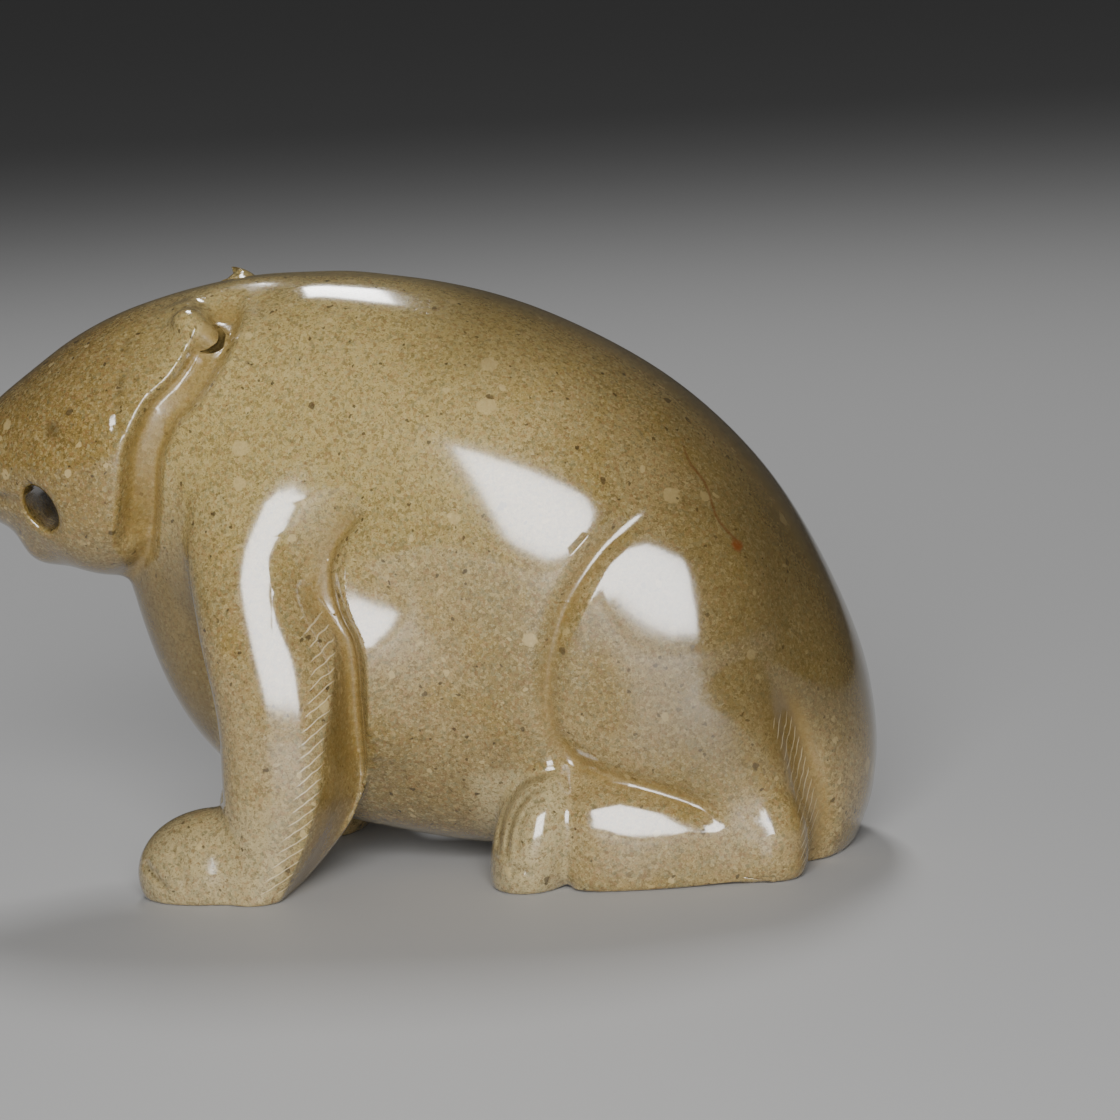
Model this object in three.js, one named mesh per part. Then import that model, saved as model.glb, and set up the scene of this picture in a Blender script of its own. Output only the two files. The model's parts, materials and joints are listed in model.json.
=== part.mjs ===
// A crouching bear carved from one pebble of granular olive-brown stone, in millimetres.
// It faces -X and stands on Z = 0, with its left side towards -Y and its middle plane at Y = 0.
import * as THREE from "three";
import { SimplifyModifier } from "three/addons/modifiers/SimplifyModifier.js";

// Sizes of the whole carving
const LENGTH = 73.4;
const HEIGHT = 48.2;
const HALF_WIDTH = 19.0;
const TRIANGLES = 9600;
const GRID_STEP = 0.52;
const GRID_MARGIN = 2.0;
const BLOCK = 4;

// The torso in side view: its radius around a middle point, as a mean and eight waves
const TORSO_MIDDLE = { x: 9.0, z: 23.0 };
const TORSO_MEAN_RADIUS = 25.82;
const TORSO_WAVES = [
  { cos: -3.93, sin: -0.96 },
  { cos: 3.5, sin: -4.24 },
  { cos: -0.43, sin: -0.78 },
  { cos: -1.27, sin: -0.71 },
  { cos: -0.15, sin: 0.08 },
  { cos: -0.45, sin: 0.37 },
  { cos: 0.18, sin: 0.13 },
  { cos: 0.05, sin: 0.03 },
];
const TORSO_HALF_WIDTH = 17.2;
const TORSO_TAPER = 0.17;
const TORSO_TAPER_FROM = 14.0;
const TORSO_TAPER_TO = -24.0;
const TORSO_FULLNESS = 2.35;
const WAVE_FADE_RADIUS = 22.0;

// Rounded masses: middle, three radii, tilt about Y in degrees, how square they are
const RUMP = { at: [26.8, 0, 5.0], radii: [8.35, 13.5, 9.55], tilt: 0, square: 2 };
const SKULL = { at: [-20.7, 0, 36.7], radii: [15.0, 11.0, 8.4], tilt: 24, square: 2 };
const CHEEK = { at: [-23.6, 3.6, 31.5], radii: [6.4, 6.8, 7.0], tilt: 0, square: 2 };
const MUZZLE = { at: [-30.6, 0, 34.1], radii: [6.4, 6.2, 4.2], tilt: 22, square: 2 };
const PAW = { at: [-15.4, 13.0, 1.9], radii: [6.4, 4.9, 5.0], tilt: 0, square: 2 };
const THIGH = { at: [20.2, 10.0, 14.6], radii: [8.8, 7.3, 14.4], tilt: -2, square: 2.5 };
const TOES = { at: [10.0, 12.8, 3.6], radii: [3.5, 5.5, 6.6], tilt: -18, square: 2 };
const TAIL = { at: [33.6, 0, 5.4], radii: [2.0, 2.6, 3.9], tilt: 0, square: 2 };
const EAR_TIP = { at: [-15.0, 9.2, 44.4], radii: [1.9, 1.1, 0.9], tilt: -38, square: 2 };

// The foreleg, a squared column: its front, back and outward lean change with height
const FORELEG = { front: -14.5, frontLean: -1.9, back: -3.5, ankle: -5.8, backLean: -1.9 };
const FORELEG_OUT = { foot: 12.9, lean: -3.3, from: 3.0, rise: 26.0, bend: 2.4, twist: 0.08 };
const FORELEG_SIZE = { halfWidth: 5.6, roundTopFrom: 14.0, roundTopRise: 26.0, square: 2.4 };

// Tapering limbs: two ends with their radii, how narrow they are across, how square they are
const JAW = { from: [-28.6, 0, 28.1], to: [-21.5, 0, 29.2], radii: [3.1, 4.8], across: 0.62, square: 2.5 };
const SHANK = { from: [24.6, 11.2, 12], to: [27.9, 13.6, 3], radii: [5.5, 3.9], across: 0.95, square: 2.6 };
const SOLE = { from: [16.8, 13.1, 3.6], to: [28, 13.4, 2.6], radii: [4.9, 3.4], across: 0.93, square: 4 };

// The flat facet ground on the upper outside of the hind foot: a point on it and its slopes
const FACET = { at: [12.7, 18.2, 5.6], normal: [0.125, 0.94, 0.31], rounding: 0.5 };

// How far the carver set the far ear and the far foreleg behind the near ones
const FAR_EAR_SHIFT = 2.0;
const FAR_LEG_SHIFT = 2.2;
const FAR_EAR_TIP = { inward: 2.8, up: 2.4 };

// Carved lines in side view, as points along each stroke (x, z)
const EAR_EDGE = stroke([
  [-16.6, 46.6], [-14.6, 45.0], [-15.6, 42.6], [-17.0, 40.6], [-18.9, 38.9],
  [-20.0, 37.0], [-20.9, 35.0], [-21.5, 31.5], [-22.2, 28.4], [-22.4, 26.0],
]);
const LEG_EDGE = stroke([
  [-1.4, 30.4], [-2.9, 29.5], [-4.3, 28.3], [-5.3, 26.7], [-5.8, 24.9], [-5.9, 23.0],
  [-5.4, 21.3], [-4.9, 19.8], [-4.95, 17.6], [-5.3, 15.4], [-5.9, 12.2],
  [-6.4, 9.0], [-7.2, 6.0], [-8.5, 3.0], [-10.0, 0.2],
]);
const BELLY_EDGE = stroke([
  [-0.9, 30.6], [-2.2, 29.6], [-3.1, 28.7], [-4.2, 27.4], [-4.8, 25.9], [-4.9, 24.4],
  [-4.7, 23.0], [-4.2, 21.5], [-3.6, 20.2], [-3.3, 18.3], [-3.35, 15.1],
  [-3.4, 12.4], [-3.6, 9.7], [-4.2, 7.0], [-5.6, 4.4], [-7.5, 1.5],
]);
const CHEST_EDGE = stroke([
  [-14.6, 35.2], [-15.7, 31.6], [-16.3, 27.7], [-16.4, 25.4], [-16.2, 23.1],
  [-15.7, 19.8], [-15.2, 17.3], [-14.7, 14.4], [-14.5, 11.4],
]);
const THIGH_EDGE = stroke([
  [21.0, 29.3], [18.8, 28.5], [16.8, 27.0], [15.1, 25.0], [13.5, 22.5], [12.4, 19.6],
  [11.7, 16.4], [11.6, 13.4], [12.3, 11.4], [13.6, 9.9], [16.0, 8.9], [19.6, 7.7],
  [23.0, 6.2], [25.6, 4.6],
]);
const HOCK_EDGE = stroke([
  [27.6, 17.6], [29.2, 14.6], [30.4, 10.9], [31.3, 7.0], [31.8, 3.4], [31.4, -1.0],
]);
const JAW_EDGE = stroke([
  [-23.6, 23.6], [-22.0, 24.9], [-20.8, 26.4], [-19.6, 28.0],
]);

// Depths and widths of the carving
const THIGH_GROOVE = { depth: 0.7, width: 0.9 };
const HOCK_GROOVE = { depth: 0.9, width: 1.2 };
const LEG_HOLLOW = { lowDepth: 1.7, lowWidth: 1.9, highDepth: 1.3, highWidth: 4.7, highLead: 4.0 };
const BELLY_RIM = { height: 1.5, crest: 1.2, width: 5.8, fall: 1.6 };
const CHEST_HOLLOW = { depth: 0.6, width: 1.6 };
const JAW_GROOVE = { depth: 0.6, width: 0.8 };
const EAR_CHANNEL = { depth: 1.0, width: 3.3 };
const EAR_LIFT = 0.45;
const MOUTH = { x: -28.5, z: 30.6, turn: 28, radii: [1.25, 1.95], rounding: 0.8 };
const SOLE_ROUNDING = 0.4;

function smoothStep(from, to, value) {
  const share = Math.min(Math.max((value - from) / (to - from), 0), 1);
  return share * share * (3 - 2 * share);
}

function blend(first, second, reach) {
  const overlap = Math.max(reach - Math.abs(first - second), 0) / reach;
  return Math.min(first, second) - overlap * overlap * reach * 0.25;
}

function carve(first, second, reach) {
  return -blend(-first, -second, reach);
}

// A smooth stroke through the given points, cut into short straight pieces
function stroke(points) {
  const piecesPerSpan = 5;
  const curve = new THREE.CatmullRomCurve3(
    points.map(([x, z]) => new THREE.Vector3(x, 0, z)), false, "catmullrom", 0.5,
  );
  const samples = curve.getPoints((points.length - 1) * piecesPerSpan);
  const pieces = [];
  let length = 0;
  for (let i = 0; i + 1 < samples.length; i += 1) {
    const dx = samples[i + 1].x - samples[i].x;
    const dz = samples[i + 1].z - samples[i].z;
    pieces.push({ x: samples[i].x, z: samples[i].z, dx, dz, start: length });
    length += Math.hypot(dx, dz);
  }
  return { pieces, length };
}

// Distance from the stroke in side view, the side of it, and the share of its length
function measure(line, x, z) {
  let nearest = Infinity;
  let side = 0;
  let along = 0;
  for (const piece of line.pieces) {
    const px = x - piece.x;
    const pz = z - piece.z;
    const square = piece.dx * piece.dx + piece.dz * piece.dz;
    const share = Math.min(Math.max((px * piece.dx + pz * piece.dz) / square, 0), 1);
    const distance = Math.hypot(px - share * piece.dx, pz - share * piece.dz);
    if (distance < nearest) {
      nearest = distance;
      side = Math.sign(piece.dx * pz - piece.dz * px);
      along = (piece.start + share * Math.sqrt(square)) / line.length;
    }
  }
  return { distance: nearest, side, along };
}

function torso(x, y, z) {
  const dx = x - TORSO_MIDDLE.x;
  const dz = z - TORSO_MIDDLE.z;
  const reach = Math.hypot(dx, dz) + 1e-9;
  const inner = Math.min(reach / WAVE_FADE_RADIUS, 1);
  const fade = inner * (2 - inner);
  let radius = TORSO_MEAN_RADIUS;
  let slope = 0;
  let cos = 1;
  let sin = 0;
  TORSO_WAVES.forEach((wave, index) => {
    const next = (cos * dx - sin * dz) / reach;
    sin = (sin * dx + cos * dz) / reach;
    cos = next;
    const strength = fade ** Math.abs(index - 1);
    radius += strength * (wave.cos * cos + wave.sin * sin);
    slope += strength * (index + 1) * (wave.sin * cos - wave.cos * sin);
  });
  const taper = TORSO_TAPER * smoothStep(TORSO_TAPER_FROM, TORSO_TAPER_TO, x);
  const width = TORSO_HALF_WIDTH * (1 - taper);
  const power = TORSO_FULLNESS;
  const u = reach / radius;
  const v = Math.abs(y) / width;
  const size = (u ** power + v ** power) ** (1 / power) + 1e-9;
  const gradU = (u ** (power - 1) * size ** (1 - power) / radius) * Math.hypot(1, slope / radius);
  const gradV = v ** (power - 1) * size ** (1 - power) / width;
  return (size - 1) / Math.max(Math.hypot(gradU, gradV), 0.02);
}

function mass(shape, x, y, z) {
  const turn = THREE.MathUtils.degToRad(shape.tilt);
  const px = x - shape.at[0];
  const dy = y - shape.at[1];
  const pz = z - shape.at[2];
  const dx = Math.cos(turn) * px + Math.sin(turn) * pz;
  const dz = Math.cos(turn) * pz - Math.sin(turn) * px;
  const [a, b, c] = shape.radii;
  const u = Math.abs(dx) / a;
  const v = Math.abs(dy) / b;
  const w = Math.abs(dz) / c;
  const power = shape.square;
  const size = (u ** power + v ** power + w ** power) ** (1 / power) + 1e-9;
  const slope = Math.hypot(u ** (power - 1) / a, v ** (power - 1) / b, w ** (power - 1) / c) + 1e-9;
  return (size - 1) * size ** (power - 1) / slope;
}

function limb(shape, x, y, z) {
  const [ax, ay, az] = shape.from;
  const ux = shape.to[0] - ax;
  const uy = shape.to[1] - ay;
  const uz = shape.to[2] - az;
  const dx = x - ax;
  const dy = y - ay;
  const dz = z - az;
  const raw = (dx * ux + dy * uy + dz * uz) / (ux * ux + uy * uy + uz * uz);
  const share = Math.min(Math.max(raw, 0), 1);
  const power = shape.square;
  const sum = Math.abs(dx - share * ux) ** power
    + Math.abs((dy - share * uy) * shape.across) ** power
    + Math.abs(dz - share * uz) ** power;
  const radius = shape.radii[0] + (shape.radii[1] - shape.radii[0]) * smoothStep(0, 1, share);
  return sum ** (1 / power) - radius;
}

// The foreleg's column, rounded over at the shoulder
function foreleg(x, y, z) {
  const front = FORELEG.front + FORELEG.frontLean * smoothStep(12, 25, z);
  const ankle = FORELEG.ankle * Math.min(Math.max(1 - z / 9, 0), 1) ** 1.7;
  const back = FORELEG.back + ankle + FORELEG.backLean * smoothStep(16, 27, z);
  const rise = Math.min(Math.max((z - FORELEG_OUT.from) / FORELEG_OUT.rise, 0), 1.3);
  const out = FORELEG_OUT.foot + FORELEG_OUT.lean * rise ** FORELEG_OUT.bend;
  const across = x - (front + back) / 2;
  const halfLength = (back - front) / 2;
  const halfWidth = FORELEG_SIZE.halfWidth;
  const topRise = FORELEG_SIZE.roundTopRise;
  const power = FORELEG_SIZE.square;
  const u = Math.abs(across) / halfLength;
  const v = Math.abs(y - out + FORELEG_OUT.twist * across) / halfWidth;
  const w = Math.min(Math.max(z - FORELEG_SIZE.roundTopFrom, 0), 40) / topRise;
  const size = (u ** power + v ** power + w ** power) ** (1 / power) + 1e-9;
  const level = Math.hypot(u ** (power - 1) / halfLength, v ** (power - 1) / halfWidth);
  const slope = level + w ** (power - 1) / topRise + 1e-9;
  return (size - 1) * size ** (power - 1) / slope;
}

// How far a point is outside the carved surface, in about millimetres; inside is negative
function bear(x, ySigned, z) {
  const far = smoothStep(-3, 3, ySigned);
  const y = Math.abs(ySigned);
  const xEar = x - FAR_EAR_SHIFT * far;
  const xLeg = x - FAR_LEG_SHIFT * far;

  let head = blend(mass(SKULL, x, y, z), mass(CHEEK, x, y, z), 4.0);
  head = blend(head, mass(MUZZLE, x, y, z), 3.0);
  head = blend(head, limb(JAW, x, y, z), 1.4);

  let form = blend(torso(x, y, z), mass(RUMP, x, y, z), 3.0);
  form = blend(form, head, 1.2 + 1.8 * smoothStep(26, 34, z));

  const front = smoothStep(-7, -13, xLeg);
  const shoulder = smoothStep(22 - 9 * front, 34 - 4 * front, z);
  const leg = blend(foreleg(xLeg, y, z), mass(PAW, xLeg, y, z), 1.4);
  form = blend(form, leg, 0.8 + 5.0 * shoulder);

  const haunch = blend(mass(THIGH, x, y, z), limb(SHANK, x, y, z), 2.0);
  const behind = smoothStep(-2, 14, (x - 20) * 0.8 + (z - 20) * 0.6) * smoothStep(1, 7, y);
  form = blend(form, haunch, 0.8 + 3.6 * behind);

  const facet = (x - FACET.at[0]) * FACET.normal[0] + (y - FACET.at[1]) * FACET.normal[1]
    + (z - FACET.at[2]) * FACET.normal[2];
  const sole = carve(limb(SOLE, x, y, z), facet, FACET.rounding);
  const foot = blend(mass(TOES, x, y, z), sole, 1.0);
  form = blend(form, foot, 1.2 + 2.5 * smoothStep(23, 28, x));
  form = blend(form, mass(TAIL, x, y, z), 0.3);

  form += bodyGrooves(x, y, z, xLeg) + headGrooves(y, z, xEar);

  const tipY = y + FAR_EAR_TIP.inward * far;
  const tipZ = z - FAR_EAR_TIP.up * far;
  form = blend(form, mass(EAR_TIP, xEar, tipY, tipZ), 0.9);

  const turn = THREE.MathUtils.degToRad(MOUTH.turn);
  const mouthX = Math.cos(turn) * (x - MOUTH.x) + Math.sin(turn) * (z - MOUTH.z);
  const mouthZ = Math.cos(turn) * (z - MOUTH.z) - Math.sin(turn) * (x - MOUTH.x);
  const mouth = (Math.hypot(mouthX / MOUTH.radii[0], mouthZ / MOUTH.radii[1]) - 1) * 1.2;
  form = carve(form, -mouth, MOUTH.rounding);

  return carve(form, -z, SOLE_ROUNDING);
}

// How deep the lines of body and legs are cut; below zero where a rim stands out
function bodyGrooves(x, y, z, xLeg) {
  const flank = smoothStep(7, 10, y);
  const thigh = measure(THIGH_EDGE, x, z);
  let depth = THIGH_GROOVE.depth * flank * Math.exp(-((thigh.distance / THIGH_GROOVE.width) ** 2))
    * smoothStep(0, 0.16, thigh.along) * smoothStep(1.0, 0.9, thigh.along);

  const hock = measure(HOCK_EDGE, x, z);
  const hockReach = Math.max(hock.side * hock.distance, -0.6 * hock.distance) / HOCK_GROOVE.width;
  depth += HOCK_GROOVE.depth * flank * Math.exp(-(hockReach ** 2)) * smoothStep(0, 0.35, hock.along);

  const outer = smoothStep(10, 15, y);
  const leg = measure(LEG_EDGE, xLeg, z);
  const belly = measure(BELLY_EDGE, xLeg, z);
  const right = leg.side * leg.distance;
  const beyond = belly.side * belly.distance;
  const low = smoothStep(24, 19, z);
  const coveShare = Math.min(Math.max(right / LEG_HOLLOW.lowWidth, 0), 1);
  const swellShare = Math.min(Math.max((right + LEG_HOLLOW.highLead) / LEG_HOLLOW.highWidth, 0), 1);
  const cove = LEG_HOLLOW.lowDepth * (1 - (1 - coveShare) ** 2);
  const swell = LEG_HOLLOW.highDepth * swellShare ** 2;
  depth += outer * (low * cove + (1 - low) * swell)
    * smoothStep(0.35, -0.35, beyond) * smoothStep(0, 0.08, leg.along);

  const pastCrest = Math.min(Math.max(1 - (beyond - BELLY_RIM.crest) / BELLY_RIM.width, 0), 1);
  const rim = smoothStep(-0.2, BELLY_RIM.crest, beyond) * pastCrest ** BELLY_RIM.fall;
  depth -= BELLY_RIM.height * outer * rim * smoothStep(32, 20, z) * smoothStep(7, 18, z);

  const chest = measure(CHEST_EDGE, xLeg, z);
  const beforeLeg = chest.side * chest.distance;
  return depth + CHEST_HOLLOW.depth * smoothStep(4, 8, y) * smoothStep(0.3, -0.3, beforeLeg)
    * Math.exp(-chest.distance / CHEST_HOLLOW.width) * smoothStep(6.5, 3.5, chest.distance)
    * smoothStep(0.1, 0.45, chest.along);
}

// How deep the lines of ear and jaw are cut; below zero where the ear stands out
function headGrooves(y, z, xEar) {
  const cheek = smoothStep(3.5, 6.5, y);
  const ear = measure(EAR_EDGE, xEar, z);
  const behindEar = ear.side * ear.distance;
  const ends = smoothStep(1.0, 0.85, ear.along);
  const channel = EAR_CHANNEL.depth * smoothStep(-0.5, 0.7, behindEar)
    * smoothStep(EAR_CHANNEL.width, EAR_CHANNEL.width - 1.2, behindEar) * smoothStep(0.02, 0.14, ear.along);
  const lift = EAR_LIFT * smoothStep(0.3, -0.3, behindEar) * smoothStep(4.5, 0, ear.distance);

  const jaw = measure(JAW_EDGE, xEar, z);
  const crease = JAW_GROOVE.depth * Math.exp(-((jaw.distance / JAW_GROOVE.width) ** 2))
    * smoothStep(1.0, 0.7, jaw.along);
  return cheek * (ends * (channel - lift) + crease);
}

// A closed mesh of the carved surface: one vertex in each grid cell that the surface crosses
function meshOf(form) {
  const low = [-LENGTH / 2 - GRID_MARGIN, -HALF_WIDTH - GRID_MARGIN, -GRID_MARGIN];
  const high = [LENGTH / 2 + GRID_MARGIN, HALF_WIDTH + GRID_MARGIN, HEIGHT + GRID_MARGIN];
  const count = low.map((start, axis) => Math.ceil((high[axis] - start) / GRID_STEP) + 1);
  const stride = [1, count[0], count[0] * count[1]];
  const values = new Float32Array(count[0] * count[1] * count[2]);
  const valueAt = (i, j, k) => form(low[0] + i * GRID_STEP, low[1] + j * GRID_STEP, low[2] + k * GRID_STEP);
  const clear = BLOCK * GRID_STEP * 1.6;
  for (let k = 0; k < count[2]; k += BLOCK) {
    for (let j = 0; j < count[1]; j += BLOCK) {
      for (let i = 0; i < count[0]; i += BLOCK) {
        const middle = valueAt(i + BLOCK / 2, j + BLOCK / 2, k + BLOCK / 2);
        const near = Math.abs(middle) < clear;
        for (let c = k; c < Math.min(k + BLOCK, count[2]); c += 1) {
          for (let b = j; b < Math.min(j + BLOCK, count[1]); b += 1) {
            for (let a = i; a < Math.min(i + BLOCK, count[0]); a += 1) {
              values[a + b * stride[1] + c * stride[2]] = near ? valueAt(a, b, c) : middle;
            }
          }
        }
      }
    }
  }

  settleSquares(values, stride);

  const cells = new Map();
  const positions = [];
  for (let k = 0; k + 1 < count[2]; k += 1) {
    for (let j = 0; j + 1 < count[1]; j += 1) {
      for (let i = 0; i + 1 < count[0]; i += 1) {
        const place = cellPoint(values, stride, i, j, k);
        if (place) {
          cells.set(i + j * stride[1] + k * stride[2], positions.length / 3);
          const start = place.map((share, axis) => low[axis] + share * GRID_STEP);
          positions.push(...settle(form, start));
        }
      }
    }
  }

  const index = [];
  for (let k = 1; k + 1 < count[2]; k += 1) {
    for (let j = 1; j + 1 < count[1]; j += 1) {
      for (let i = 1; i + 1 < count[0]; i += 1) {
        const here = i + j * stride[1] + k * stride[2];
        for (let axis = 0; axis < 3; axis += 1) {
          const inside = values[here] < 0;
          if (inside !== values[here + stride[axis]] < 0) {
            const u = stride[(axis + 1) % 3];
            const v = stride[(axis + 2) % 3];
            const ring = [here - u - v, here - v, here, here - u].map((cell) => cells.get(cell));
            if (!inside) {
              ring.reverse();
            }
            index.push(ring[0], ring[1], ring[2], ring[0], ring[2], ring[3]);
          }
        }
      }
    }
  }

  const geometry = new THREE.BufferGeometry();
  geometry.setAttribute("position", new THREE.Float32BufferAttribute(positions, 3));
  geometry.setIndex(index);
  return geometry;
}

// Where a grid square has only two opposite corners inside, the corner nearest the surface
// changes side, so that every edge of the mesh has two triangles
function settleSquares(values, stride) {
  const hair = 1e-4;
  const pairs = [[stride[0], stride[1]], [stride[1], stride[2]], [stride[2], stride[0]]];
  const last = values.length - stride[2] - stride[1] - 1;
  let changed = true;
  while (changed) {
    changed = false;
    for (let here = 0; here < last; here += 1) {
      for (const [u, v] of pairs) {
        const corners = [here, here + u, here + u + v, here + v];
        const inside = corners.map((corner) => values[corner] < 0);
        if (inside[0] === inside[2] && inside[1] === inside[3] && inside[0] !== inside[1]) {
          corners.sort((first, second) => Math.abs(values[first]) - Math.abs(values[second]));
          values[corners[0]] = values[corners[0]] < 0 ? hair : -hair;
          changed = true;
        }
      }
    }
  }
}

// The mean of the places where the surface crosses the twelve edges of a grid cell
function cellPoint(values, stride, i, j, k) {
  const sum = [0, 0, 0];
  let crossings = 0;
  for (let axis = 0; axis < 3; axis += 1) {
    const uAxis = (axis + 1) % 3;
    const vAxis = (axis + 2) % 3;
    for (let corner = 0; corner < 4; corner += 1) {
      const start = [i, j, k];
      start[uAxis] += corner & 1;
      start[vAxis] += corner >> 1;
      const at = start[0] + start[1] * stride[1] + start[2] * stride[2];
      const first = values[at];
      const second = values[at + stride[axis]];
      if (first < 0 !== second < 0) {
        start[axis] += first / (first - second);
        sum[0] += start[0];
        sum[1] += start[1];
        sum[2] += start[2];
        crossings += 1;
      }
    }
  }
  return crossings > 0 ? sum.map((value) => value / crossings) : null;
}

// Moves a point down the slope of the form until it lies on the surface
function settle(form, start) {
  const nudge = 0.02;
  const longestMove = 0.25;
  let [x, y, z] = start;
  for (let pass = 0; pass < 4; pass += 1) {
    const value = form(x, y, z);
    const gx = (form(x + nudge, y, z) - form(x - nudge, y, z)) / (2 * nudge);
    const gy = (form(x, y + nudge, z) - form(x, y - nudge, z)) / (2 * nudge);
    const gz = (form(x, y, z + nudge) - form(x, y, z - nudge)) / (2 * nudge);
    const square = gx * gx + gy * gy + gz * gz + 1e-6;
    const wanted = value / square;
    const limit = longestMove / Math.sqrt(square);
    const move = Math.min(Math.max(wanted, -limit), limit);
    x -= move * gx;
    y -= move * gy;
    z -= move * gz;
  }
  return [x, y, z];
}

const fine = meshOf(bear);
const spare = Math.max(fine.getAttribute("position").count - TRIANGLES / 2, 0);
const geometry = await new SimplifyModifier().modify(fine, Math.round(spare));

geometry.computeVertexNormals();

const stone = new THREE.MeshStandardMaterial({ color: 0x9a8862, roughness: 0.18, metalness: 0.0 });
stone.name = "stone";
const carving = new THREE.Mesh(geometry, stone);
carving.name = "bear";

const object = new THREE.Group();
object.name = "jade_bear";
object.add(carving);

export default object;
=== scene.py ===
# %% [markdown]
# # A bear carved from one stone
# The object is a small crouching bear, cut by hand from a single pebble of granular,
# olive-brown stone and polished until it shines. One piece of stone means one piece here:
# the solid gives the true outline, and this lesson gives it the carver's finer surface, the
# engraved strokes and the speckled, polished stone.

# %% Load the solid that everything is fitted to
import json
import math

import bpy
import numpy as np
from mathutils import Matrix, Vector

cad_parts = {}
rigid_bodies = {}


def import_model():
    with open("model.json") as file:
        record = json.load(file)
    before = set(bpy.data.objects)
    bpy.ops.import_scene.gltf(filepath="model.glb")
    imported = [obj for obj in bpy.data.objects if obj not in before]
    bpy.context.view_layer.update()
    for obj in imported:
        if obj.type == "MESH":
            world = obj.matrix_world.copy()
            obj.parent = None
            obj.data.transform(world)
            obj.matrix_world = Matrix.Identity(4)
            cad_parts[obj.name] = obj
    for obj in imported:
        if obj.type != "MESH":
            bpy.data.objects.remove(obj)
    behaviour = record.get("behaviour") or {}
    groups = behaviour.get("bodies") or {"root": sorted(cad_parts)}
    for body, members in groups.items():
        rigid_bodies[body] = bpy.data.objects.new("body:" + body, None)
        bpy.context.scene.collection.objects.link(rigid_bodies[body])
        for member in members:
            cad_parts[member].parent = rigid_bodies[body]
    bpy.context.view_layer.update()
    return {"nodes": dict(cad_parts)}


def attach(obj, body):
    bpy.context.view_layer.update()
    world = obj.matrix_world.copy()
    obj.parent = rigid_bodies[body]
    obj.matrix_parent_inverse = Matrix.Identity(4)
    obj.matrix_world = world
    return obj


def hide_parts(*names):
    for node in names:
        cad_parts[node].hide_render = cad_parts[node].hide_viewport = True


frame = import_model()
MM = 0.001

# %% [markdown]
# ## The shape as one formula
# A carver thinks of the animal as rounded masses that flow into each other: an egg for the
# body, smaller eggs for skull, thigh and paw, and tapering limbs. Such masses could be
# modelled one by one and joined, but a join leaves seams that a polished stone doesn't have.
# So each mass is a distance, in millimetres, and the distances are blended into one. The
# surface is where the blend is zero, which any fine mesh can be laid on exactly.

# %% Blend two distances, or carve one from the other
TINY = 1e-9


def smooth_step(start, end, value):
    """0 before the start, 1 past the end, and a soft rise between them."""
    share = np.clip((value - start) / (end - start), 0, 1)
    return share * share * (3 - 2 * share)


def blend(first, second, reach):
    """The smaller distance, rounded over where the two differ by less than the reach."""
    overlap = np.maximum(reach - np.abs(first - second), 0) / reach
    return np.minimum(first, second) - overlap * overlap * reach * 0.25


def carve(first, second, reach):
    return -blend(-first, -second, reach)


print("two surfaces 1 mm away, blended over 2 mm, are", blend(1.0, 1.0, 2.0), "mm away")


# %% Masses and limbs
def mass(x, y, z, at, radii, tilt=0, square=2):
    """Distance from an egg that is tilted in side view. A square above 2 makes it boxier."""
    turn = math.radians(tilt)
    px, py, pz = x - at[0], y - at[1], z - at[2]
    dx = math.cos(turn) * px + math.sin(turn) * pz
    dz = math.cos(turn) * pz - math.sin(turn) * px
    parts = [np.abs(d) / r for d, r in zip((dx, py, dz), radii)]
    size = sum(part ** square for part in parts) ** (1 / square) + TINY
    slope = np.sqrt(sum((part ** (square - 1) / r) ** 2 for part, r in zip(parts, radii))) + TINY
    return (size - 1) * size ** (square - 1) / slope


def limb(x, y, z, start, end, radii, across, square):
    """Distance from a rod that tapers between two ends. Across above 1 makes it narrower."""
    along = [e - s for s, e in zip(start, end)]
    dx, dy, dz = x - start[0], y - start[1], z - start[2]
    length = sum(v * v for v in along)
    share = np.clip((dx * along[0] + dy * along[1] + dz * along[2]) / length, 0, 1)
    offset = (np.abs(dx - share * along[0]) ** square
              + np.abs((dy - share * along[1]) * across) ** square
              + np.abs(dz - share * along[2]) ** square)
    radius = radii[0] + (radii[1] - radii[0]) * smooth_step(0, 1, share)
    return offset ** (1 / square) - radius


print("a ball of radius 5 is", float(mass(0.0, 0.0, 9.0, (0, 0, 0), (5, 5, 5))), "mm away at 9 mm")

# %% [markdown]
# ## The body
# Seen from the side the body is an egg with its thick end at the haunches. A stack of eggs
# would only come near its long back line. So its outline is a mean radius and eight waves
# around a middle point, and its cross-section is a slightly squared oval that tapers towards
# the neck.

# %% The body
BODY_MIDDLE = (9.0, 23.0)
BODY_RADIUS = 25.82
BODY_WAVES = [(-3.93, -0.96), (3.5, -4.24), (-0.43, -0.78), (-1.27, -0.71), (-0.15, 0.08),
              (-0.45, 0.37), (0.18, 0.13), (0.05, 0.03)]
BODY_HALF_WIDTH = 17.2
BODY_TAPER, TAPER_FROM, TAPER_TO = 0.19, 18, -24
BODY_FULLNESS = 2.35
WAVE_FADE_RADIUS = 22.0
LEAST_SLOPE = 0.02


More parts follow.
